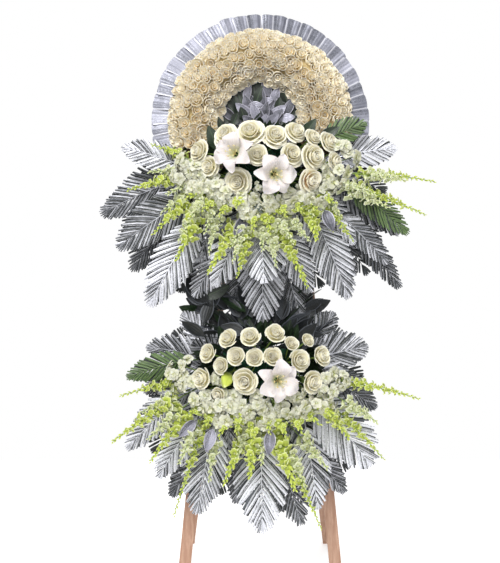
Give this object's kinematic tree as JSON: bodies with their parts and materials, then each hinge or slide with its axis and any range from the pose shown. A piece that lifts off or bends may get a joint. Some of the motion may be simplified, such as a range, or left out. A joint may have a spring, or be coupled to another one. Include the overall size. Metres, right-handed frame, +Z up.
{
  "type": "funeral flower stand",
  "caption": "Leaning timber easel with a round wreath of cream roses in a silver leaf rim above two tiers of white flowers, palm fronds and snapdragons.",
  "frame": {"origin": "on the floor under the middle of the whole outline", "axes": "+Z up, -Y towards the side that the flowers face, +X to a viewer's right"},
  "size_m": [1.07, 0.8574, 1.9617],
  "materials": {
    "timber": "planed, unfinished softwood",
    "board": "raw pressed board",
    "foam": "wet flower foam, fine open cells",
    "tray": "thin moulded tray",
    "silver_leaf": "leaf with a satin silver paint",
    "green_leaf": "waxy green leaf",
    "cream_petal": "soft cream petals",
    "white_petal": "soft ivory petals",
    "lily_petal": "waxy white petals",
    "small_white": "thin white petals",
    "lime_bud": "lime buds and florets"
  },
  "bodies": {
    "root": {"backing_board": "board", "foam_ring": "foam", "front_leg_left": "timber", "front_leg_right": "timber", "lower_foam": "foam", "lower_green_fronds": "green_leaf", "lower_green_leaves": "green_leaf", "lower_lilies": "lily_petal", "lower_roses_left": "white_petal", "lower_roses_middle": "white_petal", "lower_roses_right": "white_petal", "lower_silver_fronds_back_bottom": "silver_leaf", "lower_silver_fronds_back_left": "silver_leaf", "lower_silver_fronds_back_right": "silver_leaf", "lower_silver_fronds_front_bottom": "silver_leaf", "lower_silver_fronds_front_left": "silver_leaf", "lower_silver_fronds_front_right": "silver_leaf", "lower_silver_leaves_front": "silver_leaf", "lower_silver_leaves_top": "silver_leaf", "lower_small_whites_left": "small_white", "lower_small_whites_right": "small_white", "lower_snapdragons_bottom": "lime_bud", "lower_snapdragons_left": "lime_bud", "lower_snapdragons_right": "lime_bud", "lower_tray": "tray", "rear_leg_left": "timber", "rear_leg_right": "timber", "rear_rail": "timber", "rim_leaves": "silver_leaf", "rose_arc_1": "cream_petal", "rose_arc_2": "cream_petal", "rose_arc_3": "cream_petal", "rose_arc_4": "cream_petal", "rose_arc_5": "cream_petal", "stretcher_left": "timber", "stretcher_right": "timber", "tier_rail_lower": "timber", "tier_rail_upper": "timber", "top_rail": "timber", "upper_foam": "foam", "upper_green_fronds": "green_leaf", "upper_green_leaves": "green_leaf", "upper_lilies": "lily_petal", "upper_roses_left": "white_petal", "upper_roses_middle": "white_petal", "upper_roses_right": "white_petal", "upper_silver_fronds_back_bottom": "silver_leaf", "upper_silver_fronds_back_left": "silver_leaf", "upper_silver_fronds_back_right": "silver_leaf", "upper_silver_fronds_front_bottom": "silver_leaf", "upper_silver_fronds_front_left": "silver_leaf", "upper_silver_fronds_front_right": "silver_leaf", "upper_silver_leaves_front": "silver_leaf", "upper_small_whites_left": "small_white", "upper_small_whites_right": "small_white", "upper_snapdragons_bottom": "lime_bud", "upper_snapdragons_left": "lime_bud", "upper_snapdragons_right": "lime_bud", "upper_tray": "tray", "wreath_leaves": "silver_leaf"}
  },
  "joints": []
}
